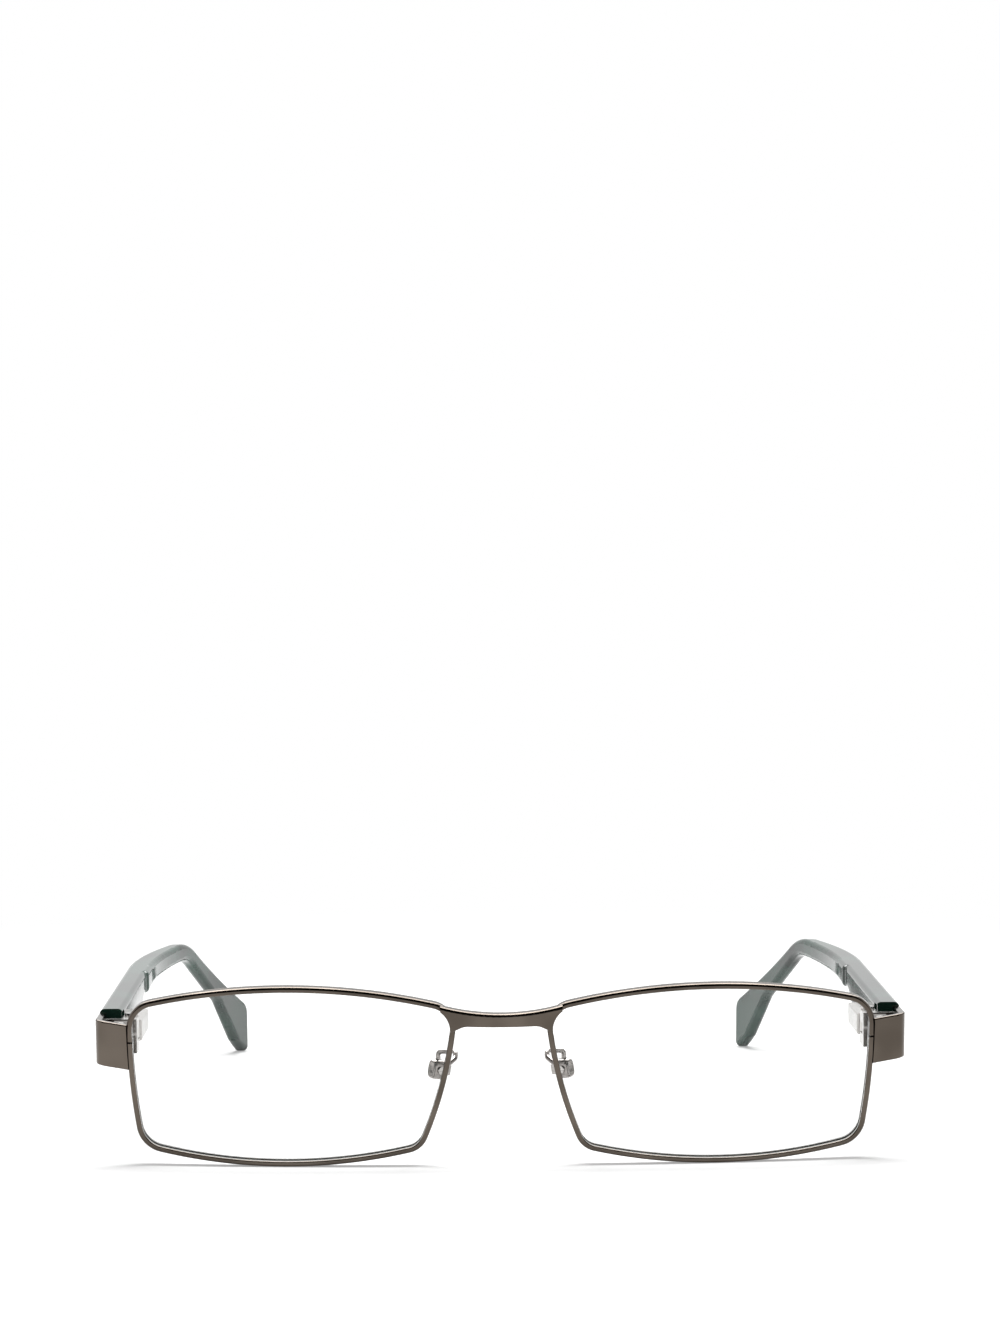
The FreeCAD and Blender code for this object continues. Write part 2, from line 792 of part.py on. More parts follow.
def make_slider(name, side):
    body = new_body("slider_" + name, hinge_place(side))
    pad(body, circle_on(body, "XY_Plane", "eye", "knuckle_radius"), "eye_height", True)
    shank_text = "case_start + guide_length - shank_gap"
    shank = rectangle_on(body, "XY_Plane", "shank", "slider_width", shank_text, Vector(0, SHANK_END / 2, 0))
    pad(body, shank, "slider_width", True)
    rod = circle_on(body, "XZ_Plane", "rod", "rod_radius", Vector(0, 0, -SHANK_END))
    pad(body, rod, "shank_gap + guide_wall + spring_length + stop_length", turned=True)
    bore = circle_on(body, "XY_Plane", "bore", "hinge_screw_radius + screw_clearance")
    pocket(body, bore, "2 * eye_height", True)
    return keep(body)


def make_spring_case(name, side):
    body = new_body("spring_case_" + name, hinge_place(side))
    middle_x = side * (size("case_outer_wall") - size("case_inner_wall")) / 2
    middle_y = size("case_start") + size("case_length") / 2
    block = rectangle_on(body, "XY_Plane", "block", "case_outer_wall + case_inner_wall", "case_length",
                         Vector(middle_x, middle_y, 0))
    pad(body, block, "case_height", True)

    def is_inner(shape, edge):
        return is_sharp(shape, edge) and side * middle_of(edge).x < -size("slider_width") / 2

    fillet(body, "case_edge_round", is_inner)
    front = Vector(0, 0, -size("case_start"))
    square = "slider_width + 2 * slider_gap"
    pocket(body, rectangle_on(body, "XZ_Plane", "guide", square, square, front), "guide_length")
    rod_bore = circle_on(body, "XZ_Plane", "rod_bore", "rod_radius + slider_gap", front)
    pocket(body, rod_bore, "guide_length + 2 * guide_wall")
    spring_bore = circle_on(body, "XZ_Plane", "spring_bore", "spring_bore_radius", Vector(0, 0, -BORE_START))
    pocket(body, spring_bore, "spring_length + stop_length + bore_spare")
    return keep(body)


def make_spring(name, side):
    """A coil about the slider's rod, between the case's inner wall and the stop."""
    wire = size("spring_wire_radius")
    gap = size("eye_gap") / 2
    height = size("spring_length") - 2 * (wire + gap)
    coil = Part.makeHelix(height / size("spring_turns"), height, size("spring_mean_radius"))
    start = Vector(size("spring_mean_radius"), 0, 0)
    section = Part.Wire([Part.makeCircle(wire, start, Vector(0, 1, 0))])
    solid = Part.Wire(coil.Edges).makePipeShell([section], True, True)
    place = Placement(Vector(0, BORE_START + wire + gap, 0), Rotation(Vector(1, 0, 0), -90))
    return keep(feature_of("hinge_spring_" + name, solid, hinge_place(side).multiply(place)))


def make_slider_stop(name, side):
    place = Placement(Vector(0, BORE_START + size("spring_length"), 0), Rotation(Vector(1, 0, 0), -90))
    parts = []
    for word, radius in (("disc", "stop_radius"), ("bore", "rod_radius")):
        cylinder = doc.addObject("Part::Cylinder", "stop_%s_%s" % (word, name))
        cylinder.setExpression("Radius", cell(radius))
        cylinder.setExpression("Height", cell("stop_length"))
        cylinder.Placement = hinge_place(side).multiply(place)
        parts.append(cylinder)
    return keep(cut_from("slider_stop_" + name, parts[0], parts[1:]))


def make_hinge(name, side):
    make_hinge_leaf(name, side)
    shoulder_screw("hinge_screw_" + name, hinge_place(side), "hinge_screw_radius",
                   "eye_height + 2 * eye_gap + 2 * knuckle_height", "hinge_head_radius", "hinge_head_height")
    make_slider(name, side)
    make_spring_case(name, side)
    make_spring(name, side)
    make_slider_stop(name, side)


# Temple: plan view, notch for the hinge, and the wire core inside

def bow(side, share):
    """A line along the temple seen from above: share 0 is its outer face and 1 its inner one.

    The inner face has a low shoulder, in front of which it lies back for the hinge.
    """
    front_inset = share * size("temple_thickness")
    tip_inset = share * size("tip_thickness")
    front_x = side * (size("lug_side_x") - front_inset)
    middle_x = side * (size("bow_middle_x") - (front_inset + tip_inset) / 2)
    tip_x = side * (size("bow_end_x") - tip_inset)
    step = size("shoulder_step") if share == 1 else 0
    points = [
        Vector(front_x, TEMPLE_FRONT - size("bow_overrun")), Vector(front_x, size("shoulder_y")),
        Vector(front_x - side * step, size_of("shoulder_y + shoulder_run")),
        Vector(front_x - side * step, size("bow_start")),
    ]
    radii = [0, size("shoulder_round"), size("shoulder_round"), 0]
    straight = rounded(points, radii, closed=False) if step else [Part.LineSegment(points[0], points[-1])]
    ends = [
        Vector(middle_x, size("bow_middle_y")),
        Vector(tip_x, size("tip_back_y") + size("bow_overrun")),
    ]
    return straight + tangent_chain(points[-1], Vector(0, 1), ends)


def region_beside(edges, x):
    """The curve closed by straight lines through a far x."""
    start, end = edges[0].StartPoint, edges[-1].EndPoint
    corners = [end, Vector(x, end.y), Vector(x, start.y), start]
    return edges + [Part.LineSegment(*ends) for ends in zip(corners, corners[1:])]


def make_temple_blank(name, side):
    body = new_body("temple_blank_" + name, LEVEL)
    reach = size("bow_end_x") / 2
    low_x = min(side * reach, side * (size("lug_side_x") + reach))
    side_view = sketch_on(body, "YZ_Plane", "side", temple_side_view(), Vector(0, 0, low_x))
    pad(body, side_view, "lug_side_x")
    outer = region_beside(bow(side, 0), side * 2 * size("lug_side_x"))
    inner = region_beside(bow(side, 1), side * size("bow_end_x") / 4)
    plan = sketch_on(body, "XY_Plane", "plan", outer + inner)
    pocket(body, plan, "lug_side_x", True)

    def is_past_front(shape, edge):
        return is_sharp(shape, edge) and middle_of(edge).y > TEMPLE_FRONT + size("eye_gap")

    fillet(body, "temple_edge_round", is_past_front)
    notch_at = Vector(side * HINGE.x, HINGE.y - size("case_start") / 2, HINGE.z)
    notch_width = "2 * knuckle_radius + 2 * hinge_notch_margin"
    notch_height = "eye_height + 2 * eye_gap + 2 * knuckle_height"
    notch_height += " + 2 * hinge_head_height + 2 * hinge_notch_margin"
    notch = rectangle_on(body, "XY_Plane", "notch", notch_width, "3 * case_start", notch_at)
    pocket(body, notch, notch_height, True)
    seat_y = HINGE.y + size("case_start") + size("case_length") / 2
    seat_at = Vector(side * HINGE.x, seat_y, HINGE.z)
    seat = rectangle_on(body, "XY_Plane", "case_seat", "2 * case_outer_wall", "case_length", seat_at)
    pocket(body, seat, "case_height", True)
    return body


def parallel(points, distance):
    """An open line of points moved to the right of its direction by a distance."""
    moved = []
    for index, point in enumerate(points):
        around = points[max(index - 1, 0):index + 2]
        headings = [(b - a).normalize() for a, b in zip(around, around[1:])]
        normals = [Vector(heading.y, -heading.x) for heading in headings]
        total = Vector(0, 0, 0)
        for normal in normals:
            total += normal
        total.normalize()
        moved.append(point + total * (distance / total.dot(normals[0])))
    return moved


def make_core(name, side):
    """A flat wire that follows the temple's top edge down into the tip."""
    back = Vector(size("tip_back_y"), size("tip_back_height"))
    corner = Vector(size("bend_y"), size("temple_top_back"))
    end = corner + (back - corner) * (1 - size("core_end_inset") / (back - corner).Length)
    line = [Vector(size("core_start"), top_height(size("core_start"))), corner, end]
    depth = (size("bend_height") - size("core_height")) / 2
    upper = parallel(line, depth)
    lower = parallel(line, depth + size("core_height"))
    outer_round = size("bend_round") - depth
    radii = [0, outer_round, 0, 0, outer_round - size("core_height"), 0]
    outline = rounded(upper + lower[::-1], radii)
    side_band = prism([moved_to_side(edge) for edge in outline], Vector(size("lug_side_x"), 0, 0))
    near, far = bow(1, (1 - size("core_share")) / 2), bow(1, (1 + size("core_share")) / 2)
    back_end = Part.LineSegment(near[-1].EndPoint, far[-1].EndPoint)
    front_end = Part.LineSegment(far[0].StartPoint, near[0].StartPoint)
    plan_band = prism(near + [back_end] + far[::-1] + [front_end], Vector(0, 0, size("lug_side_x")))
    core = side_band.common(plan_band)
    return keep(feature_of("temple_core_" + name, mirrored(core, side), LEVEL))


def moved_to_side(edge):
    """An edge drawn in the plane of the sketch, stood up in the side view."""
    turned = edge.copy()
    turned.transform(Placement(Vector(0, 0, 0), Rotation(Vector(1, 1, 1), 120)).toMatrix())
    return turned


def make_temple(name, side):
    core = make_core(name, side)
    return keep(cut_from("temple_" + name, make_temple_blank(name, side), [core]))


# Nose pads: box on the rim's arm, boss, screw and pad, in a frame that splays and flares

PIVOT = size_of("0.5 * pad_thickness + pad_box_gap + pivot_depth")
BOX_FACE = size_of("0.5 * pad_thickness + pad_box_gap")


def pad_place(side):
    centre = Vector(side * size("pad_x"), size("pad_setback"), size("pad_height"))
    splay = Rotation(UP, -side * size("pad_splay"))
    flare = Rotation(Vector(0, 1, 0), -side * size("pad_flare"))
    return FRONT.multiply(Placement(centre, splay.multiply(flare)))


def make_nose_pad(name, side):
    body = new_body("nose_pad_" + name, pad_place(side))
    centre, tall, wide = Vector(0, 0, 0), size("pad_half_length"), size("pad_half_width")
    oval = Part.Ellipse(Vector(0, tall, 0), Vector(wide, 0, 0), centre)
    pad(body, sketch_on(body, "YZ_Plane", "oval", [oval]), "pad_thickness", True)
    fillet(body, "pad_edge_round", is_sharp)
    floor = side * size_of("0.5 * pad_thickness - boss_sunk")
    seat = rectangle_on(body, "YZ_Plane", "boss_seat", "boss_width", "boss_length", Vector(0, 0, floor))
    pocket(body, seat, "pad_thickness", turned=side > 0)
    return keep(body)


def make_pad_boss(name, side):
    body = new_body("pad_boss_" + name, pad_place(side))
    floor = side * size_of("0.5 * pad_thickness - boss_sunk")
    block = rectangle_on(body, "YZ_Plane", "block", "boss_width", "boss_length", Vector(0, 0, floor))
    pad(body, block, "boss_sunk + pad_box_gap + pivot_depth + boss_reach", turned=side < 0)
    bore = circle_on(body, "XZ_Plane", "bore", "pad_screw_radius + eye_gap", Vector(side * PIVOT, 0, 0))
    pocket(body, bore, "2 * box_width", True)
    return keep(body)


def make_pad_box(name, side):
    body = new_body("pad_box_" + name, pad_place(side))
    face = Vector(0, 0, side * BOX_FACE)
    block = rectangle_on(body, "YZ_Plane", "block", "box_width", "box_length", face)
    pad(body, block, "box_depth", turned=side < 0)

    def is_outside(shape, edge):
        return is_sharp(shape, edge) and abs(middle_of(edge).x) > BOX_FACE + size("eye_gap")

    fillet(body, "box_edge_round", is_outside)
    inside_width, inside_length = "box_width - 2 * box_wall", "box_length - 2 * box_wall"
    hollow = rectangle_on(body, "YZ_Plane", "hollow", inside_width, inside_length, face)
    pocket(body, hollow, "box_depth - box_wall", turned=side > 0)
    pivot = Vector(side * PIVOT, 0, 0)
    bore = circle_on(body, "XZ_Plane", "bore", "pad_screw_radius + screw_clearance / 2", pivot)
    pocket(body, bore, "2 * box_width", True)
    return keep(body)


def make_pad_screw(name, side):
    place = Placement(Vector(side * PIVOT, 0, 0), Rotation(Vector(1, 0, 0), 90))
    shoulder_screw("pad_screw_" + name, pad_place(side).multiply(place), "pad_screw_radius", "box_width",
                   "pad_screw_head", "pad_screw_proud")


def arm_path():
    """The arm's line, from the back of the rim, up beside the nose and over into the top of the box."""
    foot = size("arm_foot_height")
    top = size("arm_top_height")
    back = ball_recess(nasal_x(foot), foot) + size("rim_depth")
    loop = size("arm_loop")
    box = Vector(size_of("0.5 * pad_thickness + pad_box_gap + 0.5 * box_depth"), 0,
                 size_of("0.5 * box_length - 0.5 * box_wall"))
    box = FRONT.inverse().multiply(pad_place(1)).multVec(box)
    return [
        Vector(nasal_x(foot), back - size("arm_radius"), foot),
        Vector(size("arm_reach_x"), back + loop, foot + size("arm_bend")),
        Vector(size("arm_reach_x"), back + 2 * loop, top),
        box + UP * size("arm_drop"),
        box,
    ]


def make_pad_arm(name, side, box):
    points = arm_path()
    bend = size("arm_bend")
    path = wire_of(rounded(points, [0] + [bend] * (len(points) - 2) + [0], closed=False))
    section = Part.Wire([Part.makeCircle(size("arm_radius"), points[0], points[1] - points[0])])
    wire = mirrored(path.makePipeShell([section], True, True), side)
    wire.Placement = FRONT
    ring = mirrored(RING, side)
    ring.Placement = FRONT
    arm = wire.cut(ring).cut(box.Shape)
    return keep(feature_of("pad_arm_" + name, max(arm.Solids, key=lambda solid: solid.Volume)))


def make_nose_pads(name, side):
    box = make_pad_box(name, side)
    doc.recompute()
    make_pad_arm(name, side, box)
    make_nose_pad(name, side)
    make_pad_boss(name, side)
    make_pad_screw(name, side)


def check_document():
    """Every object has to be sound, and every piece one valid solid, before anything is written."""
    doc.recompute()
    for item in doc.Objects:
        if "Invalid" in item.State or "Error" in item.State:
            raise RuntimeError("%s failed: %s" % (item.Label, item.State))
    for item in pieces:
        if item.Shape.isNull() or not item.Shape.isValid() or len(item.Shape.Solids) != 1:
            raise RuntimeError("%s has no single valid solid" % item.Label)


def export():
    os.makedirs("parts", exist_ok=True)
    for item in pieces:
        item.Shape.exportStep("parts/%s.step" % item.Label)


def main():
    make_rims_and_lenses()
    keep(feature_of("bridge", BRIDGE, FRONT))
    for name, side in SIDES:
        lug = make_lug(name, side)
        make_closing_blocks(name, side, lug)
        make_hinge(name, side)
        make_temple(name, side)
        make_nose_pads(name, side)
    check_document()
    export()
    for item in pieces:
        print("%s: %.2f cubic millimetres" % (item.Label, item.Shape.Volume))


main()
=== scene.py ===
import json
import math

import bmesh
import bpy
from mathutils import Matrix, Vector


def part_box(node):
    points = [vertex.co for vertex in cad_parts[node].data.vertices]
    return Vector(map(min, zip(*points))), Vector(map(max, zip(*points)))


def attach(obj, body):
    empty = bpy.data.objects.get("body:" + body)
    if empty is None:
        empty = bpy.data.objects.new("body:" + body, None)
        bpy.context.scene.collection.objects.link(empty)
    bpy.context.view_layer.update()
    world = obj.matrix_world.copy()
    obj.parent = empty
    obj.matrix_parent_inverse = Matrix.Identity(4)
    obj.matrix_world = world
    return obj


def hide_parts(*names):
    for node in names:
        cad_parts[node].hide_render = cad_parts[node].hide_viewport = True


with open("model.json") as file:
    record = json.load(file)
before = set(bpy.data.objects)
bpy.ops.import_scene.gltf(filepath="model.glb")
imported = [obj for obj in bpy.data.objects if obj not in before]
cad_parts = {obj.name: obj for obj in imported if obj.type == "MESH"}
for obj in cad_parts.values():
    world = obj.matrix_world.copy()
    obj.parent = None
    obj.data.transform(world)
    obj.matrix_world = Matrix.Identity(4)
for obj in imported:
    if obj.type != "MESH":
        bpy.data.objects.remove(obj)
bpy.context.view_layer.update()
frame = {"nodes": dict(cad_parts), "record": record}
SIDES = (("right", 1), ("left", -1))
WHITE = (1.0, 1.0, 1.0, 1.0)


# Shader maths: sockets that can be added and multiplied, and one way to make any node

class Amount:
    """A number that varies over a surface, as an output socket in a finish."""

    def __init__(self, finish, socket):
        self.finish = finish
        self.socket = socket

    def _with(self, operation, other):
        return self.finish.node("ShaderNodeMath", {"operation": operation}, {0: self, 1: other}).amount()

    def __add__(self, other):
        return self._with("ADD", other)

    __radd__ = __add__

    def __mul__(self, other):
        return self._with("MULTIPLY", other)

    __rmul__ = __mul__

    def __pow__(self, other):
        return self._with("POWER", other)

    def between(self, low, high):
        """0 below low, 1 above high and smooth between them."""
        settings = {"interpolation_type": "SMOOTHSTEP"}
        inputs = {"Value": self, "From Min": low, "From Max": high}
        return self.finish.node("ShaderNodeMapRange", settings, inputs).amount("Result")


class Made:
    """A node that was made, and its outputs."""

    def __init__(self, finish, node):
        self.finish = finish
        self.node = node

    def amount(self, output=0):
        return Amount(self.finish, self.node.outputs[output])


class Finish:
    """One node tree, of a material or of the world."""

    def __init__(self, tree):
        self.tree = tree
        tree.nodes.clear()

    def node(self, kind, settings=None, inputs=None):
        made = self.tree.nodes.new(kind)
        for name, value in (settings or {}).items():
            setattr(made, name, value)
        for name, value in (inputs or {}).items():
            if isinstance(value, Amount):
                self.tree.links.new(value.socket, made.inputs[name])
            else:
                made.inputs[name].default_value = value
        return Made(self, made)

    def noise(self, place, size, detail):
        """Cloudy noise from 0 to 1 whose features are about a size in metres across."""
        inputs = {"Vector": place, "Scale": 1.0 / size, "Detail": detail}
        return self.node("ShaderNodeTexNoise", {}, inputs).amount("Fac")

    def mix(self, share, first, second):
        """A colour between the first, at share 0, and the second, at share 1."""
        settings = {"data_type": "RGBA"}
        inputs = {0: share, 6: first, 7: second}
        return self.node("ShaderNodeMix", settings, inputs).amount(2)

    def place(self):
        """The point on the surface, in metres in its object's own frame."""
        return self.node("ShaderNodeTexCoord").amount("Object")

    def bump(self, height, depth):
        return self.node("ShaderNodeBump", {}, {"Height": height, "Distance": depth}).amount()

    def surface(self, inputs):
        shader = self.node("ShaderNodeBsdfPrincipled", {}, inputs)
        self.node("ShaderNodeOutputMaterial", {}, {"Surface": shader.amount("BSDF")})


def new_finish(name):
    material = bpy.data.materials.new(name)
    material.use_nodes = True
    return material, Finish(material.node_tree)


def rgb(red, green, blue):
    """A display colour, from 0 to 255, as the shader's linear colour."""
    levels = [level / 255 for level in (red, green, blue)]
    linear = [level / 12.92 if level <= 0.04045 else ((level + 0.055) / 1.055) ** 2.4 for level in levels]
    return (*linear, 1.0)


# Finishes

def gunmetal():
    """Warm grey polished plating with broad clouds of tone and a fine grain."""
    material, finish = new_finish("gunmetal_plating")
    place = finish.place()
    cloud = finish.noise(place, 0.011, 2.0)
    grain = finish.noise(place, 0.00012, 2.0)
    tint = finish.mix(cloud.between(0.3, 0.7), rgb(80, 73, 66), rgb(101, 93, 85))
    finish.surface({
        "Base Color": tint,
        "Metallic": 1.0,
        "Roughness": 0.09 + 0.04 * cloud + 0.03 * grain,
        "Normal": finish.bump(grain, 0.0000012),
    })
    return material


def polished(name, colour, roughness):
    """Polished bare metal, a little darker in patches."""
    material, finish = new_finish(name)
    place = finish.place()
    cloud = finish.noise(place, 0.0015, 3.0)
    grain = finish.noise(place, 0.0001, 2.0)
    dark = tuple(0.85 * level for level in colour[:3]) + (1.0,)
    finish.surface({
        "Base Color": finish.mix(cloud.between(0.3, 0.7), colour, dark),
        "Metallic": 1.0,
        "Roughness": roughness + 0.06 * cloud,
        "Normal": finish.bump(grain, 0.0000006),
    })
    return material


def acetate():
    """Polished very dark green acetate with a faint drift of colour in the sheet."""
    material, finish = new_finish("dark_green_acetate")
    place = finish.place()
    deep, lively = (0.004, 0.013, 0.009, 1.0), (0.016, 0.052, 0.037, 1.0)
    drift = finish.noise(place, 0.012, 3.0)
    ripple = finish.noise(place, 0.006, 1.0)
    finish.surface({
        "Base Color": finish.mix(drift.between(0.35, 0.65), deep, lively),
        "Roughness": 0.06 + 0.04 * drift,
        "IOR": 1.44,
        "Coat Weight": 0.05,
        "Coat Roughness": 0.02,
        "Normal": finish.bump(ripple, 0.000004),
    })
    return material


def clear_lens():
    """Thin clear lens: see-through, and more mirror-like the more it is seen from the side."""
    material, finish = new_finish("clear_lens")
    place = finish.place()
    haze = finish.noise(place, 0.01, 1.0)
    facing = finish.node("ShaderNodeLayerWeight", {}, {"Blend": 0.12}).amount("Fresnel")
    finish.surface({
        "Base Color": (0.93, 0.97, 0.95, 1.0),
        "Roughness": 0.01 + 0.01 * haze,
        "IOR": 1.5,
        "Alpha": 0.03 + 0.35 * facing,
    })
    return material


def soft_pad():
    """Clear soft plastic with a slight haze."""
    material, finish = new_finish("clear_soft_pad")
    place = finish.place()
    haze = finish.noise(place, 0.002, 2.0)
    facing = finish.node("ShaderNodeLayerWeight", {}, {"Blend": 0.3}).amount("Facing")
    finish.surface({
        "Base Color": (0.93, 0.94, 0.93, 1.0),
        "Roughness": 0.12 + 0.1 * haze,
        "IOR": 1.43,
        "Alpha": 0.05 + 0.55 * facing ** 2.0,
    })
    return material


FINISHES = {
    "gunmetal": gunmetal(),
    "hardware": polished("polished_steel", (0.55, 0.53, 0.51, 1.0), 0.12),
    "hinge_metal": polished("nickel_silver", (0.56, 0.545, 0.525, 1.0), 0.16),
    "spring_steel": polished("spring_wire", (0.5, 0.5, 0.5, 1.0), 0.25),
    "core_steel": polished("core_wire", (0.55, 0.53, 0.5, 1.0), 0.2),
    "acetate": acetate(),
    "lens": clear_lens(),
    "pad_clear": soft_pad(),
}
ARM_WIRE = polished("arm_wire", (0.30, 0.28, 0.265, 1.0), 0.12)


def paint_cad_nodes():
    """Each solid gets its slot's finish, but the nose pads' arms a darker wire."""
    slots = {part["node"]: part["material_slot"] for part in frame["record"]["subparts"]}
    for name, node in frame["nodes"].items():
        is_arm = name.startswith("pad_arm")
        node.data.materials.clear()
        node.data.materials.append(ARM_WIRE if is_arm else FINISHES[slots[name]])


paint_cad_nodes()


# The soft nose pads and the boxes that hold them, in millimetres in the pad's own frame

MILLIMETRE = 0.001
AROUND = 48
PAD_LEAN, PAD_SPLAY, PAD_TILT = (math.radians(angle) for angle in (7, -35, -12))
PAD_HALF_WIDTH, PAD_HALF_LENGTH, PAD_TAPER = 3.7, 6.4, 0.12
HOUSING_HALF_WIDTH, HOUSING_HALF_LENGTH, HOUSING_SQUARENESS = 1.1, 1.7, 0.62


def pad_frame(side):
    """From the pad's frame, whose x points away from the nose and z up, to the glasses' frame."""
    low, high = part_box("nose_pad_right")
    centre = (Vector(low) + Vector(high)) / 2
    turn = Matrix.Rotation(PAD_LEAN, 4, "X") @ Matrix.Rotation(PAD_SPLAY, 4, "Z")
    turn = turn @ Matrix.Rotation(PAD_TILT, 4, "Y")
    place = Matrix.Translation(centre) @ turn @ Matrix.Scale(MILLIMETRE, 4)
    return place if side > 0 else Matrix.Scale(-1, 4, (1, 0, 0)) @ place


def lofted(name, rings, outline, place, finish, body):
    """A closed skin through rings; each ring is an outline scaled by a share, at a height along x."""
    mesh = bpy.data.meshes.new(name)
    shape = bmesh.new()
    turns = [2 * math.pi * step / AROUND for step in range(AROUND)]
    loops = []
    for share, height in rings:
        points = [outline(turn) for turn in turns] if share else [(0, 0)]
        loops.append([shape.verts.new((height, share * y, share * z)) for y, z in points])
    for first, second in zip(loops, loops[1:]):
        for step in range(AROUND):
            after = (step + 1) % AROUND
            corners = [first[step % len(first)], first[after % len(first)],
                       second[after % len(second)], second[step % len(second)]]
            shape.faces.new(list(dict.fromkeys(corners)))
    bmesh.ops.recalc_face_normals(shape, faces=shape.faces)
    for face in shape.faces:
        face.smooth = True
    shape.transform(place)
    if place.determinant() < 0:
        bmesh.ops.reverse_faces(shape, faces=shape.faces)
    shape.to_mesh(mesh)
    shape.free()
    piece = bpy.data.objects.new(name, mesh)
    bpy.context.collection.objects.link(piece)
    smooth = piece.modifiers.new("smooth", "SUBSURF")
    smooth.levels = smooth.render_levels = 1
    piece.data.materials.append(finish)
    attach(piece, body)
    return piece


def pad_outline(turn):
    """A soft drop, narrower towards the top."""
    taper = 1 - PAD_TAPER * math.sin(turn)
    return PAD_HALF_WIDTH * math.cos(turn) * taper, PAD_HALF_LENGTH * math.sin(turn)


def power(value, exponent):
    return math.copysign(abs(value) ** exponent, value)


def housing_outline(turn):
    """A box with well-rounded corners."""
    across = HOUSING_HALF_WIDTH * power(math.cos(turn), HOUSING_SQUARENESS)
    return across, HOUSING_HALF_LENGTH * power(math.sin(turn), HOUSING_SQUARENESS)


# Rings from the pad's nose face to its back, and from the housing's inner floor over its mouth to its back
PAD_RINGS = [
    (0, -0.88), (0.3, -0.87), (0.6, -0.80), (0.82, -0.62), (0.95, -0.32), (1.0, 0.02),
    (0.98, 0.35), (0.9, 0.6), (0.78, 0.7), (0.66, 0.62), (0.45, 0.55), (0.22, 0.55), (0, 0.55),
]
HOUSING_RINGS = [
    (0, 3.44), (0.5, 3.44), (0.7, 3.4), (0.73, 3.2), (0.73, 1.55), (0.78, 1.42), (0.9, 1.4),
    (0.98, 1.5), (1.0, 1.7), (1.0, 3.0), (0.98, 3.3), (0.9, 3.62), (0.78, 3.78), (0.66, 3.8),
    (0.54, 3.74), (0.45, 3.66), (0, 3.64),
]


def make_nose_pads():
    for name, side in SIDES:
        place = pad_frame(side)
        pad = lofted("soft_pad_" + name, PAD_RINGS, pad_outline, place,
                     FINISHES["pad_clear"], "pad_" + name)
        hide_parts("nose_pad_" + name)
        housing = lofted("pad_housing_" + name, HOUSING_RINGS, housing_outline, place,
                         ARM_WIRE, "front")
        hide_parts("pad_box_" + name)


make_nose_pads()


# Camera, where the photograph was taken from

CAMERA_PLACE = Vector((-0.00861, -0.656355, 0.110195))
CAMERA_YAW, CAMERA_PITCH, CAMERA_ROLL = (math.radians(angle) for angle in (-0.852, 2.557, -0.395))
SENSOR = 36.0
FOCAL_PIXELS, LONG_SIDE = 3564.0, 1334.0


def make_camera():
    data = bpy.data.cameras.new("camera")
    data.sensor_width = SENSOR
    data.lens = SENSOR * FOCAL_PIXELS / LONG_SIDE
    data.clip_start, data.clip_end = 0.01, 50.0
    camera = bpy.data.objects.new("camera", data)
    bpy.context.collection.objects.link(camera)
    level_ahead = Vector((-math.sin(CAMERA_YAW), math.cos(CAMERA_YAW), 0.0))
    level_right = Vector((math.cos(CAMERA_YAW), math.sin(CAMERA_YAW), 0.0))
    ahead = level_ahead * math.cos(CAMERA_PITCH) - Vector((0, 0, 1)) * math.sin(CAMERA_PITCH)
    straight_up = level_right.cross(ahead)
    right = level_right * math.cos(CAMERA_ROLL) + straight_up * math.sin(CAMERA_ROLL)
    up = straight_up * math.cos(CAMERA_ROLL) - level_right * math.sin(CAMERA_ROLL)
    turn = Matrix((right, up, -ahead)).transposed().to_4x4()
    camera.matrix_world = Matrix.Translation(CAMERA_PLACE) @ turn
    bpy.context.scene.camera = camera


make_camera()


# Studio: a white floor, a soft lamp overhead, and cards in front and behind that only gloss shows

FLOOR_REACH = 8.0
FADE_START, FADE_END = 0.12, 0.32
FLOOR_LIFT = 0.3
SURROUND = 0.35
DIM, BRIGHT = 0.01, 7.0


def across(half_width, near, far):
    """The corners of a sheet as wide on both sides, from one (y, z) edge to another."""
    return [(-half_width, *near), (half_width, *near), (half_width, *far), (-half_width, *far)]


def flat_sheet(name, corners):
    mesh = bpy.data.meshes.new(name)
    mesh.from_pydata(corners, [], [tuple(range(len(corners)))])
    sheet = bpy.data.objects.new(name, mesh)
    bpy.context.collection.objects.link(sheet)
    return sheet


def seen_rays(finish):
    """1 for the rays that show the studio itself: straight to the camera, mirrored or through glass."""
    rays = finish.node("ShaderNodeLightPath")
    seen = rays.amount("Is Camera Ray") + rays.amount("Is Glossy Ray") + rays.amount("Is Transmission Ray")
    return seen.between(0.0, 1.0)


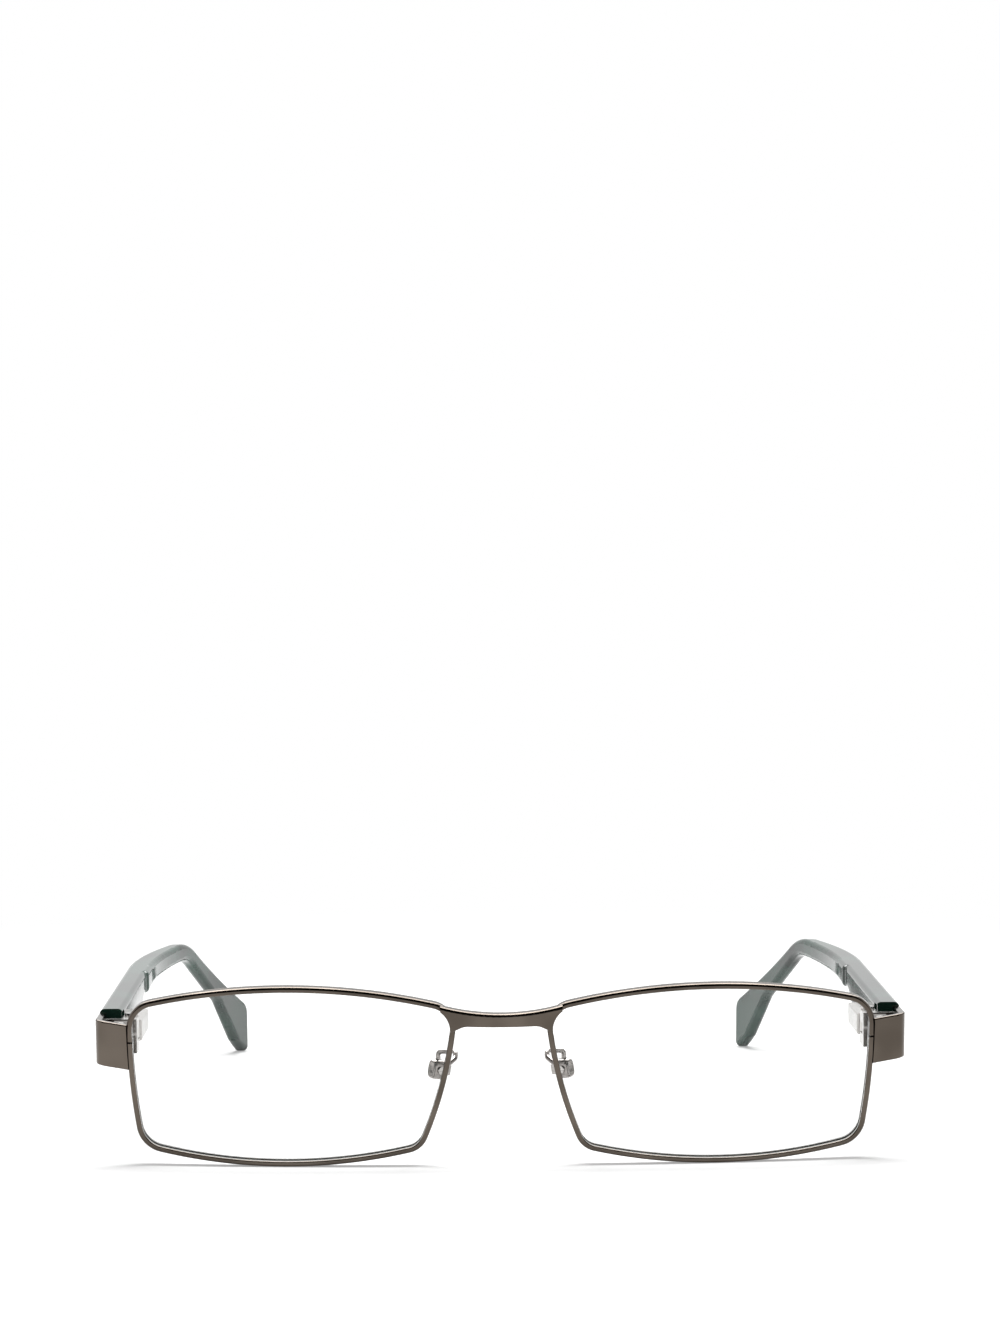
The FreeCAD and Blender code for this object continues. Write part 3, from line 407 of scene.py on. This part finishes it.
def make_floor():
    """White near the glasses, where it takes their shadow, and glowing white further off."""
    floor = flat_sheet("floor", across(FLOOR_REACH, (-FLOOR_REACH, 0), (FLOOR_REACH, 0)))
    material, finish = new_finish("white_floor")
    matt = finish.node("ShaderNodeBsdfDiffuse", {}, {"Color": (0.8, 0.8, 0.8, 1.0)})
    lift = finish.node("ShaderNodeEmission", {}, {"Color": WHITE, "Strength": FLOOR_LIFT})
    near = finish.node("ShaderNodeAddShader", {}, {0: matt.amount(), 1: lift.amount()})
    far = finish.node("ShaderNodeEmission", {}, {"Color": WHITE, "Strength": 1.0})
    from_middle = finish.node("ShaderNodeVectorMath", {"operation": "LENGTH"}, {0: finish.place()})
    distance = from_middle.amount("Value").between(FADE_START, FADE_END)
    white = finish.node("ShaderNodeMixShader", {}, {0: distance, 1: near.amount(), 2: far.amount()})
    choice = {0: seen_rays(finish), 1: matt.amount(), 2: white.amount()}
    shader = finish.node("ShaderNodeMixShader", {}, choice)
    finish.node("ShaderNodeOutputMaterial", {}, {"Surface": shader.amount()})
    floor.data.materials.append(material)


def make_world():
    """White where it is seen or mirrored, and dimmer as a light."""
    world = bpy.data.worlds.new("studio")
    world.use_nodes = True
    bpy.context.scene.world = world
    finish = Finish(world.node_tree)
    strength = SURROUND + (1.0 - SURROUND) * seen_rays(finish)
    shader = finish.node("ShaderNodeBackground", {}, {"Color": WHITE, "Strength": strength})
    finish.node("ShaderNodeOutputWorld", {}, {"Surface": shader.amount()})


def soft_lamp(name, place, target, width, depth, radiance):
    data = bpy.data.lights.new(name, "AREA")
    data.shape = "RECTANGLE"
    data.size, data.size_y = width, depth
    data.energy = radiance * math.pi * width * depth
    lamp = bpy.data.objects.new(name, data)
    lamp.location = place
    lamp.rotation_euler = (Vector(target) - Vector(place)).to_track_quat("-Z", "Y").to_euler()
    bpy.context.collection.objects.link(lamp)


def mirror_card(name, glow, corners):
    """A card that only polished surfaces show: dim ones darken a reflection, bright ones light it."""
    card = flat_sheet(name, corners)
    material, finish = new_finish(name)
    light = finish.node("ShaderNodeEmission", {}, {"Color": WHITE, "Strength": glow})
    finish.node("ShaderNodeOutputMaterial", {}, {"Surface": light.amount()})
    card.data.materials.append(material)
    card.visible_camera = False
    card.visible_diffuse = False
    card.visible_shadow = False
    card.visible_transmission = False


make_floor()
make_world()
soft_lamp("overhead_softbox", (0.0, 0.12, 0.9), (0.0, 0.12, 0.0), 0.9, 0.3, 12.0)
mirror_card("dim_front_wall", DIM, across(2.0, (-1.2, 0.02), (-1.2, 1.0)))
mirror_card("dim_front_ceiling", DIM, across(2.0, (-1.2, 1.0), (-0.15, 1.0)))
mirror_card("bright_back", BRIGHT, across(0.9, (1.2, 0.75), (0.3, 1.1)))
bpy.context.scene.view_settings.view_transform = "Standard"
